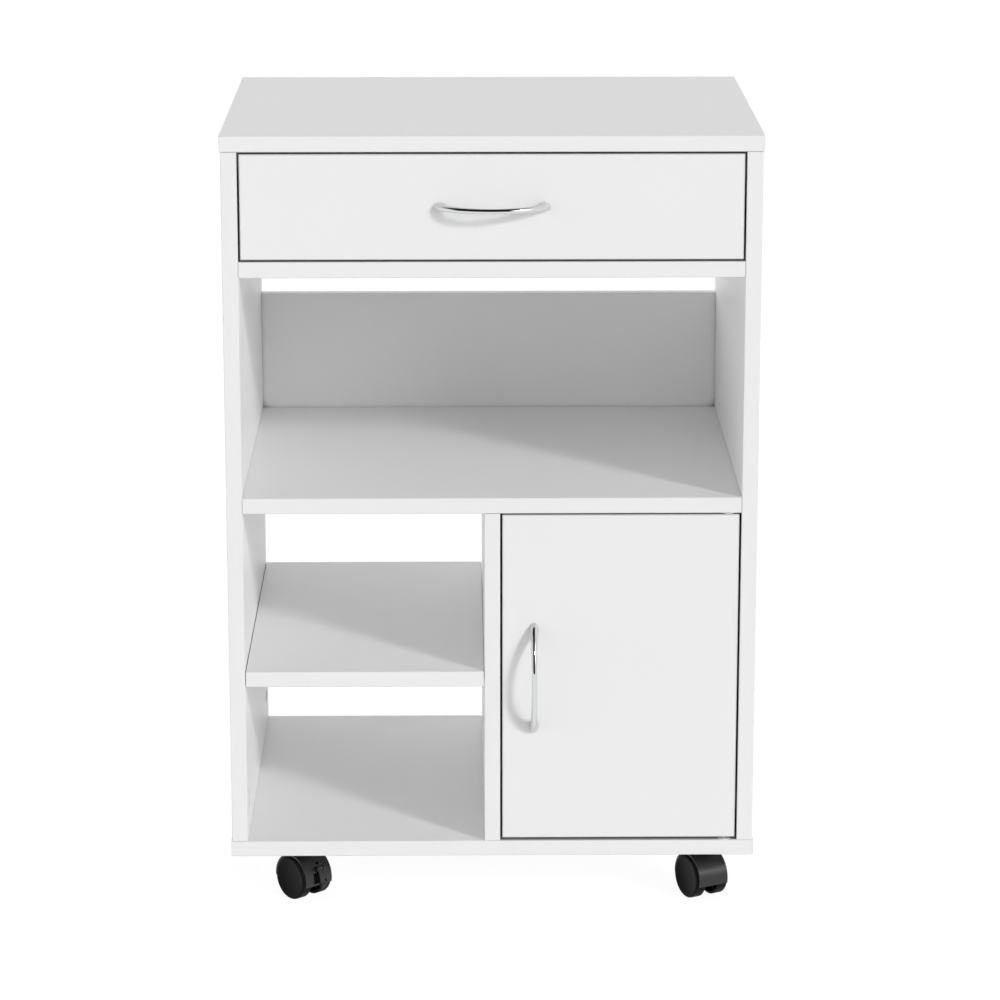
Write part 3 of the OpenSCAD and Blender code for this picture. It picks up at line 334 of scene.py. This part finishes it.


# A board: the chips inside it, the lines on it, and the shade painted on it in a gap by how open
# the gap is.
# The share of the board that counts as its surface is its face margin.
DARK_CHIP = (0.3, 0.19, 0.1)
MIDDLE_CHIP = (0.48, 0.34, 0.2)
PALE_CHIP = (0.62, 0.48, 0.32)
CHIPS_PER_METRE = 520
SEAM_WIDTH = 0.00012
GLUE_LINE = (0.5, 0.49, 0.47, 1)
HAIRLINE_WIDTH = 0.0004
HAIRLINE = (0.74, 0.735, 0.72, 1)
FACE_MARGIN = 0.012
GAP_REACH = 0.012
GAP_PAINTED_SHADE = [(0.02, grey(0.03)), (0.3, grey(0.25)), (0.47, grey(1.0))]
UPWARD_GAP_PAINTED_SHADE = [(0.0, grey(0.6)), (0.4, grey(1.0))]


def chipboard(s):
    """Pressed chips, pale and dark, lying along the board."""
    chips = s.node("ShaderNodeTexVoronoi", feature="F1")
    chips.inputs["Scale"].default_value = CHIPS_PER_METRE
    s.link(s.scaled((1, 0.45, 1)), chips.inputs["Vector"])
    pick = s.node("ShaderNodeSeparateColor")
    s.link(chips.outputs["Color"], pick.inputs["Color"])
    return s.ramp(pick.outputs["Red"], [(0.0, DARK_CHIP), (0.5, MIDDLE_CHIP), (1.0, PALE_CHIP)])


def borders_near(s, coords, low, high, margin):
    """Along how many of the three axes the point lies within the margin of the box's border."""
    count = 0.0
    for part, near, far in zip(s.axes(s.coords.outputs[coords]), low, high):
        off_centre = s.math("ABSOLUTE", s.math("SUBTRACT", part, (near + far) / 2))
        at_border = s.math("GREATER_THAN", off_centre, (far - near) / 2 - margin)
        count = s.math("ADD", at_border, count)
    return count


def inside_box(s, margin):
    """1 where the surface lies inside the board, as the wall of a drilled hole does."""
    return s.math("LESS_THAN", borders_near(s, "Generated", (0, 0, 0), (1, 1, 1), margin), 0.5)


def edge_lines(s, low, high, width):
    """1 along a board's edges, where its faces and its neighbours meet in a hairline."""
    return s.math("GREATER_THAN", borders_near(s, "Object", low, high, width), 1.5)


def seam_at(s, axis, position):
    """1 on the hairline where the edge band meets the board's face."""
    return s.math("COMPARE", s.axes(s.coords.outputs["Object"])[axis], position, SEAM_WIDTH)


def make_melamine(name, low, high, seams):
    """White melamine on a board that fills the box from low to high."""
    s = Surface(name, (0.9, 0.9, 0.901), roughness=0.4)
    colour = s.mottled(s.noise(3.0, detail=2.0), (0.892, 0.893, 0.895), (0.907, 0.906, 0.906))
    for axis, position in seams:
        colour = s.mixed(seam_at(s, axis, position), colour, GLUE_LINE)
    colour = s.mixed(edge_lines(s, low, high, HAIRLINE_WIDTH), colour, HAIRLINE)
    colour = s.mixed(inside_box(s, FACE_MARGIN), colour, chipboard(s))
    # Painted shade in gaps and tight corners, lighter on faces that look up
    s.tone(s.paint_gap_shade(colour, GAP_REACH, GAP_PAINTED_SHADE, UPWARD_GAP_PAINTED_SHADE))
    s.rough(s.noise(60, detail=3.0), low=0.36, high=0.46)
    s.bump(s.noise(900, detail=2.0, rough=0.6), strength=0.12, distance=0.00012)
    s.bump(s.noise(160, detail=2.0), strength=0.08, distance=0.0002)
    return s.mat


def make_hardboard():
    s = Surface("hardboard", (0.8, 0.8, 0.79), roughness=0.55)
    fibres = s.noise(420, detail=5.0, stretch=(1, 0.5, 1), rough=0.7)
    s.tone(s.mottled(fibres, (0.78, 0.78, 0.765), (0.83, 0.83, 0.82)))
    s.rough(fibres, low=0.5, high=0.62)
    s.bump(fibres, strength=0.25, distance=0.0002)
    return s.mat


def make_chrome():
    s = Surface("chrome", (0.69, 0.695, 0.705), roughness=0.05, metallic=1.0)
    s.rough(s.noise(240, detail=3.0), low=0.035, high=0.075)
    s.bump(s.noise(90, detail=1.0), strength=0.02, distance=0.0002)
    return s.mat


def make_zinc():
    s = Surface("zinc", (0.66, 0.67, 0.69), roughness=0.4, metallic=1.0)
    cast = s.noise(1400, detail=4.0, rough=0.65)
    s.tone(s.mottled(s.noise(350, detail=3.0), (0.6, 0.61, 0.63), (0.72, 0.73, 0.75)))
    s.rough(cast, low=0.32, high=0.5)
    s.bump(cast, strength=0.3, distance=0.0001)
    return s.mat


def make_plated():
    s = Surface("plated_steel", (0.74, 0.745, 0.76), roughness=0.28, metallic=1.0)
    s.tone(s.mottled(s.noise(500, detail=3.0), (0.68, 0.69, 0.71), (0.8, 0.8, 0.81)))
    s.rough(s.noise(700, detail=3.0), low=0.2, high=0.36)
    s.bump(s.noise(1500, detail=2.0), strength=0.12, distance=0.00006)
    return s.mat


def make_enamel():
    s = Surface("runner_enamel", (0.8, 0.8, 0.79), roughness=0.42)
    peel = s.noise(450, detail=2.0)
    colour = s.mottled(s.noise(40, detail=2.0), grey(0.78), grey(0.82))
    # Painted shade where the runner's parts stand close together
    s.tone(s.paint_gap_shade(colour, 0.006, [(0.1, grey(0.3)), (0.5, grey(1.0))]))
    s.rough(peel, low=0.36, high=0.5)
    s.bump(peel, strength=0.2, distance=0.0002)
    return s.mat


def make_white_nylon():
    s = Surface("white_nylon", (0.82, 0.82, 0.8), roughness=0.45)
    s.bsdf.inputs["Subsurface Weight"].default_value = 0.1
    s.bsdf.inputs["Subsurface Radius"].default_value = (0.002, 0.002, 0.002)
    s.rough(s.noise(500, detail=3.0), low=0.4, high=0.52)
    s.bump(s.noise(1200, detail=2.0), strength=0.1, distance=0.0001)
    return s.mat


def make_beech():
    s = Surface("beech", (0.62, 0.44, 0.27), roughness=0.6)
    grain = s.noise(300, detail=4.0, stretch=(1, 0.12, 1), rough=0.6)
    s.tone(s.mottled(grain, (0.5, 0.33, 0.19), (0.66, 0.48, 0.3)))
    s.rough(grain, low=0.55, high=0.7)
    s.bump(grain, strength=0.3, distance=0.0002)
    return s.mat


def make_black_steel():
    s = Surface("black_steel", (0.03, 0.03, 0.032), roughness=0.4, specular=0.55)
    s.rough(s.noise(600, detail=3.0), low=0.32, high=0.5)
    s.bump(s.noise(900, detail=2.0), strength=0.15, distance=0.0001)
    return s.mat


FLOW_DARK = 0.85
FLOW_PALE = 1.2


def make_moulded(name, colour, rough_low, rough_high, specular):
    """Moulded plastic: spark-eroded grain, slight flow marks and a little colour variation."""
    s = Surface(name, colour, roughness=(rough_low + rough_high) / 2, specular=specular)
    flow = s.noise(70, detail=3.0, stretch=(1, 1, 0.5))
    dark = tuple(c * FLOW_DARK for c in colour)
    pale = tuple(c * FLOW_PALE for c in colour)
    s.tone(s.mottled(flow, dark, pale))
    s.rough(s.noise(400, detail=4.0), rough_low, rough_high)
    s.bump(s.noise(2200, detail=3.0, rough=0.6), strength=0.35, distance=0.00008)
    s.bump(flow, strength=0.05, distance=0.0003)
    return s.mat


# Every slot but melamine, which each board has for itself
MATERIALS = {
    "hardboard": make_hardboard(),
    "chrome": make_chrome(),
    "zinc": make_zinc(),
    "beech": make_beech(),
    "runner_enamel": make_enamel(),
    "white_nylon": make_white_nylon(),
    "plated_steel": make_plated(),
    "black_steel": make_black_steel(),
    "hood_nylon": make_moulded("hood_nylon", (0.012, 0.012, 0.0125), 0.3, 0.4, specular=0.5),
    "wheel_nylon": make_moulded("wheel_nylon", (0.007, 0.007, 0.0075), 0.45, 0.58, specular=0.07),
}

CORNERS = ("front_left", "front_right", "rear_left", "rear_right")
RUNNERS = [f"{side}_{carrier}" for carrier in ("cabinet", "drawer") for side in ("left", "right")]
SLOT_OF = {
    "melamine": ["top_panel", "left_side_panel", "right_side_panel", "bottom_panel",
                 "under_drawer_panel", "printer_shelf", "divider_panel", "left_bay_shelf",
                 "printer_bay_back", "door_bay_back", "drawer_front", "drawer_left_side",
                 "drawer_right_side", "drawer_back", "door_panel"],
    "hardboard": ["drawer_bottom"],
    "chrome": ["drawer_handle", "door_handle"],
    "zinc": ["cam_locks"],
    "beech": ["wood_dowels", "drawer_dowels"],
    "runner_enamel": [f"{runner}_runner" for runner in RUNNERS],
    "white_nylon": ["cam_covers", "pivot_bushes", "magnet_catch",
                    *(f"{runner}_roller" for runner in RUNNERS)],
    "plated_steel": ["shelf_pins", "cam_bolts", "cabinet_runner_screws", "drawer_handle_screws",
                     "drawer_runner_screws", "door_handle_screws", "door_pivots", "catch_strike",
                     "caster_plate_screws", *(f"{corner}_axle" for corner in CORNERS)],
    "black_steel": ["caster_plates"],
    "hood_nylon": ["front_left_brake", "rear_right_brake",
                   *(f"{corner}_hood" for corner in CORNERS)],
    "wheel_nylon": [f"{corner}_wheel_{side}" for side in "ab" for corner in CORNERS],
}


# Edges: every CAD node gets soft shading on its round faces, and most get a small radius on their
# sharp edges

SMOOTH_BELOW_DEGREES = 32
WELD_DISTANCE = 0.000002
BEVEL_ABOVE_DEGREES = 40
EDGE_RADIUS = {
    "melamine": 0.0003, "hardboard": 0.0002, "zinc": 0.0002, "runner_enamel": 0.00025,
    "white_nylon": 0.00025, "black_steel": 0.0004, "hood_nylon": 0.0004, "wheel_nylon": 0.00025,
}


def smooth_group():
    """Geometry nodes that weld the surface and smooth it except across sharp edges."""
    g = bpy.data.node_groups.new("soft_shading", "GeometryNodeTree")
    for way in ("INPUT", "OUTPUT"):
        g.interface.new_socket("Geometry", in_out=way, socket_type="NodeSocketGeometry")
    enter = g.nodes.new("NodeGroupInput")
    leave = g.nodes.new("NodeGroupOutput")
    weld = g.nodes.new("GeometryNodeMergeByDistance")
    weld.inputs["Distance"].default_value = WELD_DISTANCE
    faces = g.nodes.new("GeometryNodeSetShadeSmooth")
    faces.domain = "FACE"
    faces.inputs["Shade Smooth"].default_value = True
    angle = g.nodes.new("GeometryNodeInputMeshEdgeAngle")
    sharp = g.nodes.new("FunctionNodeCompare")
    sharp.data_type = "FLOAT"
    sharp.operation = "GREATER_THAN"
    sharp.inputs["B"].default_value = math.radians(SMOOTH_BELOW_DEGREES)
    edges = g.nodes.new("GeometryNodeSetShadeSmooth")
    edges.domain = "EDGE"
    edges.inputs["Shade Smooth"].default_value = False
    g.links.new(enter.outputs[0], weld.inputs["Geometry"])
    g.links.new(weld.outputs["Geometry"], faces.inputs["Geometry"])
    g.links.new(angle.outputs["Unsigned Angle"], sharp.inputs["A"])
    g.links.new(sharp.outputs["Result"], edges.inputs["Selection"])
    g.links.new(faces.outputs["Geometry"], edges.inputs["Geometry"])
    g.links.new(edges.outputs["Geometry"], leave.inputs[0])
    return g


SOFT = smooth_group()


def soften(obj, radius):
    soft = obj.modifiers.new("soft_shading", "NODES")
    soft.node_group = SOFT
    if radius:
        bevel = obj.modifiers.new("edge_radius", "BEVEL")
        bevel.width = radius
        bevel.segments = 2
        bevel.limit_method = "ANGLE"
        bevel.angle_limit = math.radians(BEVEL_ABOVE_DEGREES)
        bevel.use_clamp_overlap = True
        bevel.harden_normals = True


def paint(obj, mat):
    for slot in obj.material_slots:
        slot.link = "OBJECT"
        slot.material = mat


# Edge bands: most boards have one on their front, some have none and two have one all round

BAND_THICKNESS = 0.0007
FRONT_SEAM = ("Y", FRONT_Y + 0.0009)
UNBANDED = ("printer_bay_back", "door_bay_back",
            "drawer_left_side", "drawer_right_side", "drawer_back")
BANDED_ROUND = ("drawer_front", "door_panel")


def board_melamine(name):
    """Each board's own melamine, with the hairlines and glue lines where its box has them."""
    low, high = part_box(name)
    if name in UNBANDED:
        seams = []
    elif name in BANDED_ROUND:
        seams = [("X", low.x + BAND_THICKNESS), ("X", high.x - BAND_THICKNESS),
                 ("Z", low.z + BAND_THICKNESS), ("Z", high.z - BAND_THICKNESS)]
    else:
        seams = [FRONT_SEAM]
    return make_melamine(name + "_melamine", low, high, seams)


def dress_nodes():
    for slot, names in SLOT_OF.items():
        for name in names:
            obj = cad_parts[name]
            paint(obj, board_melamine(name) if slot == "melamine" else MATERIALS[slot])
            soften(obj, EDGE_RADIUS.get(slot))


# Pieces

def piece(name, bm, body, slot, node):
    """Makes an object of the bmesh that rides on a body and stands for a CAD node."""
    mesh = bpy.data.meshes.new(name)
    bmesh.ops.recalc_face_normals(bm, faces=bm.faces)
    bm.to_mesh(mesh)
    bm.free()
    obj = bpy.data.objects.new(name, mesh)
    bpy.context.scene.collection.objects.link(obj)
    mesh.materials.append(MATERIALS[slot])
    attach(obj, body)
    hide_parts(node)


# The bow handle: its screw spacing and reach, and the sections of its feet and its middle
SCREW_SPACING = 0.096
REACH = 0.027
FOOT_WIDTH = 0.0134
FOOT_HEIGHT = 0.009
BOW_THICKNESS = 0.0046
BOW_HEIGHT = 0.0049
BOW_SLANT = 1.35
THINNING = 0.8
TILT_ROOM = 0.9
FOOT_ROUNDING = 0.0004
FOOT_ROUNDING_LENGTH = 0.0006


def bow_ring(bm, t, at_end, sides):
    """One ring of vertices at the angle t, which runs from 0 at one foot to pi at the other."""
    half = SCREW_SPACING / 2
    rise = REACH - BOW_THICKNESS / 2
    out = max(math.sin(t), 0.0)
    centre = Vector((-half * math.cos(t), -rise * out ** BOW_SLANT, 0))
    if at_end:
        along = Vector((0, -math.cos(t)))
    else:
        climb = rise * BOW_SLANT * out ** (BOW_SLANT - 1) * math.cos(t)
        along = Vector((half * out, -climb)).normalized()
    middle = out ** THINNING
    across = FOOT_WIDTH / 2 * (1 - middle) + BOW_THICKNESS / 2 * middle
    up = FOOT_HEIGHT / 2 * (1 - middle) + BOW_HEIGHT / 2 * middle
    # Near a foot the section tilts only so far that its inner side stays in front of the board
    lean = min(along.x, TILT_ROOM * -centre.y / across)
    normal = Vector((-math.copysign(math.sqrt(1 - lean * lean), along.y), lean, 0))
    foot_distance = min(t, math.pi - t) * half
    shrink = FOOT_ROUNDING * max(0.0, 1 - foot_distance / FOOT_ROUNDING_LENGTH) ** 2
    ring = []
    for j in range(sides):
        a = 2 * math.pi * j / sides
        height = Vector((0, 0, (up - shrink) * math.sin(a)))
        ring.append(bm.verts.new(centre + normal * (across - shrink) * math.cos(a) + height))
    return ring


def bow_mesh(steps=120, sides=40):
    """Chromed bow: an arc whose section shrinks from its feet to its middle.
    It runs along x, stands out towards -y and meets its front at y = 0. With a slant of 1 it is
    half an ellipse, and above 1 it leaves its feet less steeply."""
    bm = bmesh.new()
    rings = [bow_ring(bm, math.pi * i / steps, i in (0, steps), sides) for i in range(steps + 1)]
    for a, b in zip(rings, rings[1:]):
        for j in range(sides):
            k = (j + 1) % sides
            bm.faces.new((a[j], b[j], b[k], a[k])).smooth = True
    bm.faces.new(rings[0])
    bm.faces.new(list(reversed(rings[-1])))
    return bm


def make_handles():
    """The drawer's bow lies along its front and the door's stands upright."""
    for body, turn_degrees in (("drawer", 0), ("door", 90)):
        node = body + "_handle"
        low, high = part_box(node)
        place = ((low.x + high.x) / 2, FRONT_Y, (low.z + high.z) / 2)
        bm = bow_mesh()
        turn = Matrix.Rotation(math.radians(turn_degrees), 3, "Y")
        bmesh.ops.rotate(bm, verts=bm.verts, matrix=turn)
        bmesh.ops.translate(bm, verts=bm.verts, vec=place)
        piece(body + "_bow_handle", bm, body, "chrome", node)


make_camera()
make_world()
make_lights()
make_floor()
dress_nodes()
make_handles()
